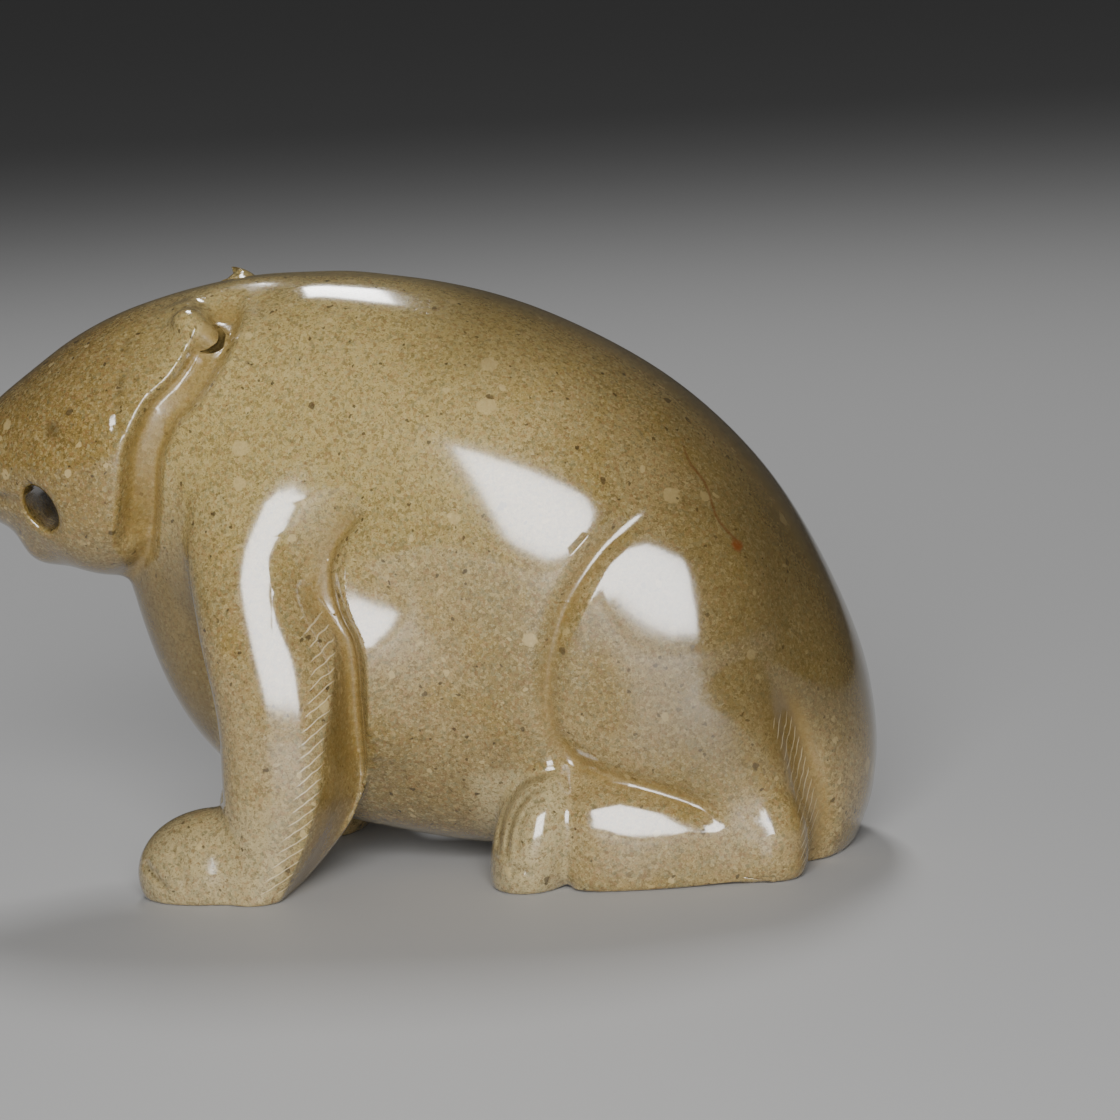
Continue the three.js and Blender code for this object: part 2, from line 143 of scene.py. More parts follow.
def body(x, y, z):
    dx, dz = x - BODY_MIDDLE[0], z - BODY_MIDDLE[1]
    reach = np.hypot(dx, dz) + TINY
    inner = np.minimum(reach / WAVE_FADE_RADIUS, 1)
    fade = inner * (2 - inner)
    radius, slope = BODY_RADIUS + 0 * x, 0 * x
    cos, sin = 1 + 0 * x, 0 * x
    for index, (wave_cos, wave_sin) in enumerate(BODY_WAVES):
        cos, sin = (cos * dx - sin * dz) / reach, (sin * dx + cos * dz) / reach
        strength = fade ** abs(index - 1)
        radius = radius + strength * (wave_cos * cos + wave_sin * sin)
        slope = slope + strength * (index + 1) * (wave_sin * cos - wave_cos * sin)
    width = BODY_HALF_WIDTH * (1 - BODY_TAPER * smooth_step(TAPER_FROM, TAPER_TO, x))
    power = BODY_FULLNESS
    u, v = reach / radius, np.abs(y) / width
    size = (u ** power + v ** power) ** (1 / power) + TINY
    slope_u = u ** (power - 1) * size ** (1 - power) / radius * np.hypot(1, slope / radius)
    slope_v = v ** (power - 1) * size ** (1 - power) / width
    return (size - 1) / np.maximum(np.hypot(slope_u, slope_v), LEAST_SLOPE)


print("body radius", BODY_RADIUS, "mm, half width", BODY_HALF_WIDTH, "mm")

# %% [markdown]
# ## The head
# The head hangs low between the shoulders: a long skull, a broad cheek on each side, a blunt
# muzzle, and a jaw that the mouth parts from it. Four masses are enough, because the lines
# that make a face of them are cut later.

# %% The head
SKULL = (-20.7, 0, 36.7), (15.0, 11.0, 8.4), 24
CHEEK = (-23.6, 3.6, 31.5), (6.4, 6.8, 7.0)
MUZZLE = (-30.6, 0, 34.1), (6.4, 6.2, 4.2), 22
JAW = (-28.6, 0, 28.1), (-21.5, 0, 29.2), (3.1, 4.8), 0.62, 2.5


def head(x, y, z):
    form = blend(mass(x, y, z, *SKULL), mass(x, y, z, *CHEEK), 4.0)
    form = blend(form, mass(x, y, z, *MUZZLE), 3.0)
    return blend(form, limb(x, y, z, *JAW), 1.4)


print("the muzzle's middle is", MUZZLE[0][2], "mm above the ground")

# %% [markdown]
# ## The foreleg
# The foreleg is a squared column that leans in towards the shoulder. Its front is nearly
# straight, its back runs in above the paw, and its top is rounded over, so that it goes up
# into the shoulder without an end. A limb with round ends would bulge there, so front, back
# and outside are each given as a line that changes with height.

# %% The foreleg
LEG_FRONT, LEG_BACK, LEG_OUT = -14.5, -3.5, 12.9
LEG_HALF_WIDTH, LEG_SLOPE_WIDTH = 5.6, 5.4
LEG_SQUARE, LEG_TWIST = 2.4, 0.08
LEG_TOP_FROM, LEG_TOP_RISE = 14, 26
ANKLE_HEIGHT, ANKLE_SLANT = 9, 5.8
LEAN_FROM, LEAN_RISE, LEAN_IN = 3, 26, 3.3


def foreleg(x, y, z):
    front = LEG_FRONT - 1.9 * smooth_step(12, 25, z)
    ankle = ANKLE_SLANT * np.clip(1 - z / ANKLE_HEIGHT, 0, 1) ** 1.7
    back = LEG_BACK - ankle - 1.9 * smooth_step(16, 27, z)
    lean = LEAN_IN * np.clip((z - LEAN_FROM) / LEAN_RISE, 0, 1.3) ** 2.4
    out = LEG_OUT - lean - 0.9 * smooth_step(24, 36, z)
    across, half_length = x - (front + back) / 2, (back - front) / 2
    power = LEG_SQUARE
    u = np.abs(across) / half_length
    v = np.abs(y - out + LEG_TWIST * across) / LEG_HALF_WIDTH
    w = np.clip(z - LEG_TOP_FROM, 0, 40) / LEG_TOP_RISE
    size = (u ** power + v ** power + w ** power) ** (1 / power) + TINY
    level = np.hypot(u ** (power - 1) / half_length, v ** (power - 1) / LEG_SLOPE_WIDTH)
    slope = level + w ** (power - 1) / LEG_TOP_RISE + TINY
    return (size - 1) * size ** (power - 1) / slope


print("the foreleg is", LEG_BACK - LEG_FRONT, "mm long and", 2 * LEG_HALF_WIDTH, "mm wide")

# %% [markdown]
# ## The hind leg
# The bear sits on its haunches. A boxy, upright thigh stands over a short shank, and the foot
# lies flat in front of it, with round toes and a long sole. The carver ground one flat facet
# on the sole's outside, so the sole is carved by a plane there.

# %% Thigh, shank and hind foot
THIGH = (20.2, 10.0, 14.6), (8.8, 7.3, 14.4), -2, 2.5
SHANK = (25.0, 10.9, 11.5), (27.9, 12.6, 3.0), (5.3, 3.8), 0.95, 2.6
TOES = (10.0, 12.8, 3.6), (3.5, 5.5, 6.6), -18
SOLE = (16.8, 13.0, 3.4), (28.0, 12.6, 2.6), (4.6, 3.4), 0.95, 4.0
FACET_AT, FACET_SLOPE = (12.7, 18.2, 5.6), (0.125, 0.94, 0.31)


def haunch(x, y, z):
    return blend(mass(x, y, z, *THIGH), limb(x, y, z, *SHANK), 2.0)


def hind_foot(x, y, z):
    facet = sum((value - at) * slope for value, at, slope in zip((x, y, z), FACET_AT, FACET_SLOPE))
    sole = carve(limb(x, y, z, *SOLE), facet, 0.5)
    return blend(mass(x, y, z, *TOES), sole, 1.0)


print("the thigh is", 2 * THIGH[1][2], "mm high")

# %% [markdown]
# ## Carved lines
# The grooves that part thigh from belly, or ear from neck, are strokes of a cutting wheel.
# A stroke is a smooth curve in side view. For a point it answers how far away the stroke is,
# on which side of it the point lies, and how far along, so that a stroke can fade at its ends.

# %% Strokes
STROKE_REACH = 7.0
OUT_OF_REACH = 99.0


def stroke(points, pieces=5):
    """A smooth line through the points, as places with five short pieces between each two."""
    knots = np.array(points, float)
    knots = np.vstack([2 * knots[0] - knots[1], knots, 2 * knots[-1] - knots[-2]])
    places = []
    for p0, p1, p2, p3 in zip(knots, knots[1:], knots[2:], knots[3:]):
        for t in np.arange(pieces) / pieces:
            places.append(0.5 * (2 * p1 + (p2 - p0) * t + (2 * p0 - 5 * p1 + 4 * p2 - p3) * t ** 2
                                 + (3 * p1 - p0 - 3 * p2 + p3) * t ** 3))
    return np.array(places + [knots[-2]])


def measure(line, x, z):
    """Distance from a stroke, the distance with its side as a sign, and the share along it."""
    lengths = np.hypot(*np.diff(line, axis=0).T)
    starts = np.concatenate([[0], np.cumsum(lengths)])
    distance = np.full(x.shape, OUT_OF_REACH)
    signed, along = np.full(x.shape, OUT_OF_REACH), np.zeros(x.shape)
    low, high = line.min(axis=0) - STROKE_REACH, line.max(axis=0) + STROKE_REACH
    close = np.flatnonzero((x > low[0]) & (x < high[0]) & (z > low[1]) & (z < high[1]))
    cx, cz = x[close], z[close]
    best, side, share = np.full(cx.shape, OUT_OF_REACH), np.ones(cx.shape), np.zeros(cx.shape)
    for place, step, start, length in zip(line, np.diff(line, axis=0), starts, lengths):
        px, pz = cx - place[0], cz - place[1]
        part = np.clip((px * step[0] + pz * step[1]) / length ** 2, 0, 1)
        away = np.hypot(px - part * step[0], pz - part * step[1])
        nearer = away < best
        best = np.where(nearer, away, best)
        side = np.where(nearer, np.sign(step[0] * pz - step[1] * px), side)
        share = np.where(nearer, (start + part * length) / starts[-1], share)
    distance[close], signed[close], along[close] = best, best * side, share
    return distance, signed, along


test_line = stroke([(0, 0), (10, 0)])
away, _, part = measure(test_line, np.array([5.0]), np.array([2.0]))
print("a point beside a straight stroke:", away[0], "mm away,", round(part[0], 2), "of the way along")

# %% [markdown]
# ## Grooves of the hind leg
# One groove runs around the thigh and along the top of the foot, and one runs down between
# hock and tail. A groove is a narrow bell across its stroke. The hock's is steeper on one
# side, as a wheel that is held at a slant leaves it.

# %% Grooves of the hind leg
THIGH_EDGE = stroke([(21.0, 29.3), (18.8, 28.5), (16.8, 27.0), (15.1, 25.0), (13.5, 22.5),
                     (12.4, 19.6), (11.7, 16.4), (11.6, 13.4), (12.3, 11.4), (13.6, 9.9),
                     (16.0, 8.9), (19.6, 7.7), (23.0, 6.2), (25.6, 4.6)])
HOCK_EDGE = stroke([(27.6, 17.6), (29.2, 14.6), (30.4, 10.9), (31.3, 7.0), (31.8, 3.4), (31.4, -1.0)])
THIGH_DEPTH, THIGH_GROOVE_WIDTH = 0.7, 0.9
HOCK_DEPTH, HOCK_GROOVE_WIDTH, HOCK_SLANT = 0.9, 1.2, 0.6


def hind_grooves(x, y, z):
    flank = smooth_step(7, 10, y)
    away, _, along = measure(THIGH_EDGE, x, z)
    depth = (THIGH_DEPTH * flank * np.exp(-(away / THIGH_GROOVE_WIDTH) ** 2)
             * smooth_step(0, 0.16, along) * smooth_step(1.0, 0.9, along))
    away, signed, along = measure(HOCK_EDGE, x, z)
    reach = np.maximum(signed, -HOCK_SLANT * away) / HOCK_GROOVE_WIDTH
    return depth + HOCK_DEPTH * flank * np.exp(-reach ** 2) * smooth_step(0, 0.35, along)


print("groove around the thigh:", THIGH_DEPTH, "mm deep; behind the hock:", HOCK_DEPTH, "mm deep")

# %% [markdown]
# ## Around the foreleg
# Behind the foreleg the stone is hollowed, so that the leg stands free of the belly. Low down
# the hollow is a tight cove. Higher up it opens into a broad swell on the shoulder. The belly
# ends at the hollow in a raised rim, which catches the light, and a shallow hollow in front
# of the leg parts it from the chest.

# %% The hollow behind the foreleg, the belly's rim and the chest
LEG_EDGE = stroke([(-1.4, 30.4), (-2.9, 29.5), (-4.3, 28.3), (-5.3, 26.7), (-5.8, 24.9), (-5.9, 23.0),
                   (-5.4, 21.3), (-4.9, 19.8), (-4.95, 17.6), (-5.3, 15.4), (-5.9, 12.2),
                   (-6.4, 9.0), (-7.2, 6.0), (-8.5, 3.0), (-10.0, 0.2)])
BELLY_EDGE = stroke([(-0.9, 30.6), (-2.2, 29.6), (-3.1, 28.7), (-4.2, 27.4), (-4.8, 25.9), (-4.9, 24.4),
                     (-4.7, 23.0), (-4.2, 21.5), (-3.6, 20.2), (-3.3, 18.3), (-3.35, 15.1),
                     (-3.4, 12.4), (-3.6, 9.7), (-4.2, 7.0), (-5.6, 4.4), (-7.5, 1.5)])
CHEST_EDGE = stroke([(-14.6, 35.2), (-15.7, 31.6), (-16.3, 27.7), (-16.4, 25.4), (-16.2, 23.1),
                     (-15.7, 19.8), (-15.2, 17.3), (-14.7, 14.4), (-14.5, 11.4)])
COVE_DEPTH, COVE_WIDTH = 1.7, 1.9
SWELL_DEPTH, SWELL_WIDTH, SWELL_LEAD = 1.3, 4.7, 4.0
RIM_HEIGHT, RIM_CREST, RIM_WIDTH, RIM_FALL = 1.8, 1.2, 6.2, 1.6
CHEST_DEPTH, CHEST_WIDTH = 0.6, 1.6


def belly_grooves(x, y, z):
    _, right, start = measure(LEG_EDGE, x, z)
    _, beyond, _ = measure(BELLY_EDGE, x, z)
    low = smooth_step(24, 19, z)
    cove = COVE_DEPTH * (1 - (1 - np.clip(right / COVE_WIDTH, 0, 1)) ** 2)
    swell = SWELL_DEPTH * np.clip((right + SWELL_LEAD) / SWELL_WIDTH, 0, 1) ** 2
    hollow = (low * cove + (1 - low) * swell) * smooth_step(0.35, -0.35, beyond)
    hollow = hollow * smooth_step(0, 0.08, start)
    past_crest = np.clip(1 - (beyond - RIM_CREST) / RIM_WIDTH, 0, 1)
    rim = smooth_step(-0.2, RIM_CREST, beyond) * past_crest ** RIM_FALL
    rim = rim * smooth_step(31, 17, z) * smooth_step(4, 14, z)
    return smooth_step(10.0, 15.0, y) * (hollow - RIM_HEIGHT * rim)


def chest_hollow(x, y, z):
    away, signed, along = measure(CHEST_EDGE, x, z)
    return (CHEST_DEPTH * smooth_step(4, 8, y) * smooth_step(0.3, -0.3, signed)
            * np.exp(-away / CHEST_WIDTH) * smooth_step(6.5, 3.5, away)
            * smooth_step(0.1, 0.45, along) * smooth_step(1.0, 0.75, along))


print("hollow behind the foreleg:", COVE_DEPTH, "mm deep; rim of the belly:", RIM_HEIGHT, "mm high")

# %% [markdown]
# ## Ear and jaw
# Each ear is a raised edge that runs down from a small tip, with a channel cut behind it. A
# short crease marks where the jaw meets the cheek.

# %% The lines of ear and jaw
EAR_EDGE = stroke([(-16.6, 46.6), (-14.6, 45.0), (-15.6, 42.6), (-17.0, 40.6), (-18.9, 38.9),
                   (-20.0, 37.0), (-20.9, 35.0), (-21.5, 31.5), (-22.2, 28.4), (-22.4, 26.0)])
JAW_EDGE = stroke([(-23.6, 23.6), (-22.0, 24.9), (-20.8, 26.4), (-19.6, 28.0)])
CHANNEL_DEPTH, EAR_LIFT = 1.0, 0.45
CREASE_DEPTH, CREASE_WIDTH = 0.6, 0.8


def head_grooves(x, y, z):
    cheek = smooth_step(3.5, 6.5, y)
    away, signed, along = measure(EAR_EDGE, x, z)
    ends = smooth_step(1.0, 0.85, along)
    channel = (CHANNEL_DEPTH * smooth_step(-0.5, 0.7, signed) * smooth_step(3.3, 2.1, signed)
               * smooth_step(0.02, 0.14, along))
    lift = EAR_LIFT * smooth_step(0.3, -0.3, signed) * smooth_step(4.5, 0, away)
    away, _, along = measure(JAW_EDGE, x, z)
    crease = CREASE_DEPTH * np.exp(-(away / CREASE_WIDTH) ** 2) * smooth_step(1.0, 0.7, along)
    return cheek * (ends * (channel - lift) + crease)


print("channel behind the ear:", CHANNEL_DEPTH, "mm deep, the ear's edge", EAR_LIFT, "mm proud")

# %% [markdown]
# ## The whole bear
# The masses are blended in the order a carver would rough them out: body and rump, head,
# foreleg, haunch, foot and tail. Then the grooves are sunk, the mouth is drilled right through
# and the feet are ground flat. One half is worked out and used for both sides, except that the
# far ear and the far foreleg were cut a little further back.

# %% All grooves together
FAR_EAR_SHIFT, FAR_LEG_SHIFT = 2.0, 2.2


def far_side(y_signed):
    return smooth_step(-3, 3, y_signed)


def groove_depth(x, y_signed, z):
    """How far the wheel went in: above zero in a groove, below it where an edge stands out."""
    far, y = far_side(y_signed), np.abs(y_signed)
    x_ear, x_leg = x - FAR_EAR_SHIFT * far, x - FAR_LEG_SHIFT * far
    return (hind_grooves(x, y, z) + belly_grooves(x_leg, y, z) + chest_hollow(x_leg, y, z)
            + head_grooves(x_ear, y, z))


print("the far foreleg stands", FAR_LEG_SHIFT, "mm behind the near one")

# %% The whole bear
RUMP = (26.8, 0, 5.0), (8.35, 13.5, 9.55)
PAW = (-15.4, 13.0, 1.9), (6.4, 4.9, 5.0)
TAIL = (33.6, 0, 5.4), (2.0, 2.6, 3.9)
EAR_TIP = (-15.0, 8.2, 44.0), (2.1, 1.3, 1.0), -38
FAR_TIP_BACK, FAR_TIP_IN, FAR_TIP_UP = 0.4, 2.4, 2.2
MOUTH, MOUTH_TURN, MOUTH_RADII = (-28.5, 30.6), 28, (1.25, 1.95)


def mouth(x, z):
    turn = math.radians(MOUTH_TURN)
    dx = math.cos(turn) * (x - MOUTH[0]) + math.sin(turn) * (z - MOUTH[1])
    dz = math.cos(turn) * (z - MOUTH[1]) - math.sin(turn) * (x - MOUTH[0])
    return (np.hypot(dx / MOUTH_RADII[0], dz / MOUTH_RADII[1]) - 1) * 1.2


def bear_form(x, y_signed, z):
    """Distance from the carved surface, below zero inside the stone."""
    far, y = far_side(y_signed), np.abs(y_signed)
    x_ear, x_leg = x - FAR_EAR_SHIFT * far, x - FAR_LEG_SHIFT * far

    form = blend(body(x, y, z), mass(x, y, z, *RUMP), 3.0)
    form = blend(form, head(x, y, z), 1.2 + 1.8 * smooth_step(26, 34, z))

    front = smooth_step(-7, -13, x_leg)
    shoulder = smooth_step(22 - 9 * front, 34 - 4 * front, z)
    leg = blend(foreleg(x_leg, y, z), mass(x_leg, y, z, *PAW), 1.4)
    form = blend(form, leg, 0.8 + 5.0 * shoulder)

    behind = smooth_step(-2, 14, (x - 20) * 0.8 + (z - 20) * 0.6) * smooth_step(1, 7, y)
    form = blend(form, haunch(x, y, z), 0.8 + 3.6 * behind)
    form = blend(form, hind_foot(x, y, z), 1.2)
    form = blend(form, mass(x, y, z, *TAIL), 0.3)

    form = form + groove_depth(x, y_signed, z)
    tip = mass(x_ear + FAR_TIP_BACK * far, y + FAR_TIP_IN * far, z - FAR_TIP_UP * far, *EAR_TIP)
    form = blend(form, tip, 1.4)
    form = carve(form, -mouth(x, z), 0.8)
    return carve(form, -z, 0.4)


probe = np.array([0.0]), np.array([0.0]), np.array([60.0])
print("a point 60 mm up is", round(float(bear_form(*probe)[0]), 1), "mm outside the stone")

# %% [markdown]
# ## Fine carving
# Lines too thin for the solid are sunk here: the front edge of the ear, three arcs that part
# the toes, the claw lines, a shallow eye and the lip. Each is a stroke with a depth and a
# width of a few tenths of a millimetre, cut into both sides alike.

# %% Thin lines, each with its depth, its width and its shift on the far side
THIN_LINES = [
    (stroke([(-20.9, 44.2), (-21.1, 41.8), (-21.3, 39.0), (-21.4, 36.2)]), 0.34, 0.36, FAR_EAR_SHIFT),
    (stroke([(12.4, 9.2), (10.9, 9.0), (9.2, 8.2), (8.0, 6.6), (7.3, 4.6), (7.1, 2.8)]), 0.26, 0.30, 0),
    (stroke([(11.8, 8.5), (9.9, 7.7), (8.7, 6.3), (8.1, 4.6), (7.9, 2.6)]), 0.26, 0.30, 0),
    (stroke([(11.5, 7.8), (10.3, 7.1), (9.3, 5.8), (8.9, 4.1), (8.8, 2.9)]), 0.22, 0.28, 0),
    (stroke([(8.0, 1.9), (9.2, 2.2), (10.4, 1.7)]), 0.25, 0.30, 0),
    (stroke([(-21.0, 3.3), (-19.9, 2.3), (-18.7, 1.3)]), 0.28, 0.32, FAR_LEG_SHIFT),
    (stroke([(-18.6, 4.6), (-17.6, 2.9), (-17.2, 1.2)]), 0.20, 0.30, FAR_LEG_SHIFT),
    (stroke([(-34.0, 31.9), (-32.0, 31.3), (-30.2, 31.2)]), 0.35, 0.40, 0),
]
EYE, EYE_RADIUS, EYE_DEPTH = (-27.0, 36.9), 0.9, 0.35


def thin_depth(x, y_signed, z):
    depth = 0 * x
    for line, deep, wide, shift in THIN_LINES:
        away, _, along = measure(line, x - shift * far_side(y_signed), z)
        fade = smooth_step(0, 0.15, along) * smooth_step(1, 0.85, along)
        depth = depth + deep * fade * np.exp(-(away / wide) ** 2)
    eye = np.hypot(x - EYE[0], z - EYE[1]) / EYE_RADIUS
    depth = depth + EYE_DEPTH * np.exp(-eye ** 2)
    return depth * smooth_step(2.5, 5.0, np.abs(y_signed))


def fine_form(x, y, z):
    return bear_form(x, y, z) + thin_depth(x, y, z)


print(len(THIN_LINES), "thin lines and an eye on each side")

# %% [markdown]
# ## From solid to stone
# The solid has a few thousand flat faces. A polished stone shows every one of them in its
# reflections, so a copy is made, its loose triangles are merged, and each face is divided.
# Then every point slides along the slope of the formula until it lies on the true surface.

# %% Copy the solid and divide its faces
MERGE_WITHIN = 0.002 * MM
DIVISIONS = 2


def copy_of(node, name):
    bpy.ops.object.select_all(action="DESELECT")
    node.select_set(True)
    bpy.context.view_layer.objects.active = node
    bpy.ops.object.duplicate()
    piece = bpy.context.view_layer.objects.active
    piece.name = name
    bpy.ops.object.parent_clear(type="CLEAR_KEEP_TRANSFORM")
    bpy.ops.object.transform_apply(location=True, rotation=True, scale=True)
    return piece


def merge_and_divide(piece, times):
    bpy.ops.object.mode_set(mode="EDIT")
    bpy.ops.mesh.select_all(action="SELECT")
    bpy.ops.mesh.remove_doubles(threshold=MERGE_WITHIN)
    for _ in range(times):
        bpy.ops.mesh.subdivide(number_cuts=1, smoothness=0)
    bpy.ops.object.mode_set(mode="OBJECT")
    print(piece.name, "has", len(piece.data.polygons), "faces")


bear = copy_of(frame["nodes"]["bear"], "carved_bear")
merge_and_divide(bear, DIVISIONS)


# %% Lay every point on the formula's surface
NUDGE = 0.02
LONGEST_MOVE = 0.3


def places_of(piece):
    flat = np.empty(len(piece.data.vertices) * 3)
    piece.data.vertices.foreach_get("co", flat)
    return flat.reshape(-1, 3) / MM


def set_places(piece, places):
    piece.data.vertices.foreach_set("co", (places * MM).ravel())
    piece.data.update()


def slope_of(form, places):
    """The form's value and its slope, from four points at the corners of a small tetrahedron."""
    corners = np.array([(1, -1, -1), (-1, -1, 1), (-1, 1, -1), (1, 1, 1)], float)
    values = [form(*(places + corner * NUDGE).T) for corner in corners]
    slope = sum(corner * value[:, None] for corner, value in zip(corners, values)) / (4 * NUDGE)
    return sum(values) / 4, slope


def settle(form, places, passes):
    for _ in range(passes):
        value, slope = slope_of(form, places)
        square = (slope ** 2).sum(axis=1) + 1e-6
        limit = LONGEST_MOVE / np.sqrt(square)
        places = places - np.clip(value / square, -limit, limit)[:, None] * slope
    return places


places = settle(fine_form, settle(bear_form, places_of(bear), 3), 2)
set_places(bear, places)
print("largest distance left:", round(float(np.abs(slope_of(fine_form, places)[0]).max()), 3), "mm")

# %% [markdown]
# ## Values that the finish needs to know
# Some colours follow the carving: the grooves are tinted amber, partly patina and partly
# painted shade in the hollows, the thin lines get painted shade and the eye a brown stain, and
# hatched strokes run beside two edges only. The strokes' formula knows where those places are,
# so its answers are stored on the points of the mesh, where the stone's finish can read them.

# %% Store how deep the grooves are
x, y, z = places.T


def store(name, values):
    layer = bear.data.attributes.new(name, "FLOAT", "POINT")
    layer.data.foreach_set("value", np.asarray(values, np.float32))
    print(name, "from", round(float(values.min()), 2), "to", round(float(values.max()), 2))


# groove depth: drives the amber tint (patina and painted shade) and the duller polish in grooves
store("groove", np.clip(groove_depth(x, y, z) / HOCK_DEPTH, 0, 1))
# depth of the thin lines and the eye: drives the painted shade in the lines and the eye's stain
store("thin_line", np.clip(thin_depth(x, y, z) / EYE_DEPTH, 0, 1))

# %% Store the strips beside the foreleg and the hock, and the hairline on the haunch
HAIRLINE = stroke([(22.4, 34.2), (23.0, 32.4), (24.3, 30.6), (25.2, 28.2), (26.7, 26.3)])
outside = smooth_step(9.0, 11.0, np.abs(y))

before_edge = -measure(LEG_EDGE, x - FAR_LEG_SHIFT * far_side(y), z)[1]
strip = outside * smooth_step(-0.12, 0.1, before_edge) * smooth_step(1.75, 1.35, before_edge)
store("leg_strip", strip * smooth_step(0.6, 1.4, z) * smooth_step(22.6, 21.6, z))
store("leg_away", np.clip(before_edge, -3, 6))

before_edge = -measure(HOCK_EDGE, x, z)[1]
strip = outside * smooth_step(-0.1, 0.1, before_edge) * smooth_step(1.3, 1.0, before_edge)
store("hock_strip", strip * smooth_step(0.9, 1.6, z) * smooth_step(13.0, 12.0, z))
store("hock_away", np.clip(before_edge, -3, 6))

_, signed, part = measure(HAIRLINE, x, z)
near = smooth_step(0, -3, y) * smooth_step(0, 0.1, part) * smooth_step(0.5, 0.2, np.abs(signed))
store("hairline_part", near)
store("hairline_away", np.clip(signed, -3, 3))

# %% [markdown]
# ## Shader sums
# A finish is worked out by nodes, and dozens of nodes wired one by one are hard to read. A
# small class wraps a socket instead, so that the shader's sums are written as sums, and one
# method makes every other node from its type, its settings and its sockets.

# %% Shader values that add and multiply like numbers
MIX_SHARE, MIX_FIRST, MIX_SECOND, MIX_RESULT = 0, 6, 7, 2


class Signal:
    def __init__(self, tree, socket):
        self.tree, self.socket = tree, socket

    def make(self, kind, settings, inputs, output=0):
        node = self.tree.nodes.new(kind)
        for name, value in settings.items():
            setattr(node, name, value)
        for name, value in inputs.items():
            if isinstance(value, Signal):
                self.tree.links.new(value.socket, node.inputs[name])
            else:
                node.inputs[name].default_value = value
        return Signal(self.tree, node.outputs[output])

    def math(self, operation, first, second=0.0):
        return self.make("ShaderNodeMath", {"operation": operation}, {0: first, 1: second})

    def __add__(self, other):
        return self.math("ADD", self, other)

    def __radd__(self, other):
        return self.math("ADD", other, self)

    def __sub__(self, other):
        return self.math("SUBTRACT", self, other)

    def __rsub__(self, other):
        return self.math("SUBTRACT", other, self)

    def __mul__(self, other):
        return self.math("MULTIPLY", self, other)

    def __rmul__(self, other):
        return self.math("MULTIPLY", other, self)

    def __truediv__(self, other):
        return self.math("DIVIDE", self, other)

    def size(self):
        return self.math("ABSOLUTE", self)

    def wave(self):
        """How far the value is from the middle between two whole numbers, 0 to 0.5."""
        return (self.math("FRACT", self) - 0.5).size()

    def step(self, start, end):
        """0 before the start, 1 past the end, and a soft rise between them."""
        inputs = {"Value": self, "From Min": start, "From Max": end}
        return self.make("ShaderNodeMapRange", {"interpolation_type": "SMOOTHSTEP"}, inputs)

    def mix(self, first, second):
        """The first colour where this value is 0, the second where it is 1."""
        inputs = {MIX_SHARE: self, MIX_FIRST: first, MIX_SECOND: second}
        return self.make("ShaderNodeMix", {"data_type": "RGBA"}, inputs, MIX_RESULT)


def srgb(red, green, blue):
    levels = [level / 255 for level in (red, green, blue)]
    return [((v + 0.055) / 1.055) ** 2.4 if v > 0.04 else v / 12.92 for v in levels] + [1]


print("flank colour", [round(v, 3) for v in srgb(144, 126, 91)])

# %% [markdown]
# ## The stone
# The stone is a fine sandy jade: olive-brown, packed with pale and dark grains a third of a
# millimetre wide, with a few cream pebbles, black specks and warm patches. All of it lies in
# the stone itself, so it is placed by the piece's own coordinates in three dimensions and runs
# unbroken around every corner.

# %% Start the stone: its shader, its coordinates in millimetres and the stored values
RED, GREEN, BLUE = 0, 1, 2

stone = bpy.data.materials.new("polished_stone")
stone.use_nodes = True
shader = stone.node_tree.nodes["Principled BSDF"]
start = Signal(stone.node_tree, None)
place = start.make("ShaderNodeTexCoord", {}, {}, "Object")
place = start.make("ShaderNodeVectorMath", {"operation": "SCALE"}, {0: place, "Scale": 1 / MM})


def noise(scale, detail, output=0):
    inputs = {"Vector": place, "Scale": scale, "Detail": detail}
    return start.make("ShaderNodeTexNoise", {}, inputs, output)


def part_of(vector, index):
    return start.make("ShaderNodeSeparateXYZ", {}, {0: vector}, index)


def stored(name):
    return start.make("ShaderNodeAttribute", {"attribute_name": name}, {}, "Fac")


along, height = part_of(place, 0), part_of(place, 2)
print("the stone starts with", len(stone.node_tree.nodes), "nodes")

# %% [markdown]
# ## Ground colour
# The pebble isn't one colour. It drifts slowly between two olives and a warmer one, and some
# parts of the bear fell in paler or darker layers: pale along neck, back and feet, brown on
# the head and dark along the crest. Painted shade darkens the underside of the belly, the chest
# under the head and the low rump. Each part is a mask with soft edges, and each layer of colour
# is laid thinly through its mask.

# %% Masks for the parts of the bear
neck_and_back = height.step(20, 34) * along.step(20, 4) * along.step(-27, -17)
# painted shade: the low rump, turned away from the lights, is darkened
rump_shade = along.step(10, 29) * height.step(4, 14)
on_crest = height.step(36, 45) * along.step(-2, 8)
# painted shade: the chest under the hanging head is darkened
chest_shade = along.step(-15.4, -16.6) * height.step(29, 23) * height.step(9, 12)
# painted shade: the belly is darkened towards its underside
belly_shade = height.step(20, 6) * along.step(13, 8) * along.step(-7, -3)
on_head = along.step(-14, -25) * height.step(24, 32)
on_forefoot = height.step(13, 3) * along.step(-6, -12)
on_toes = height.step(10, 8) * along.step(13.6, 11.8) * along.step(4, 6)
print("eight masks")


# %% The ground colour and its slow drifts
def paint(colour, layers):
    """Lay thin layers over a colour, each with its shade, its strength and its mask."""
    for shade, strength, mask in layers:
        colour = (mask * strength).mix(colour, srgb(*shade))
    return colour


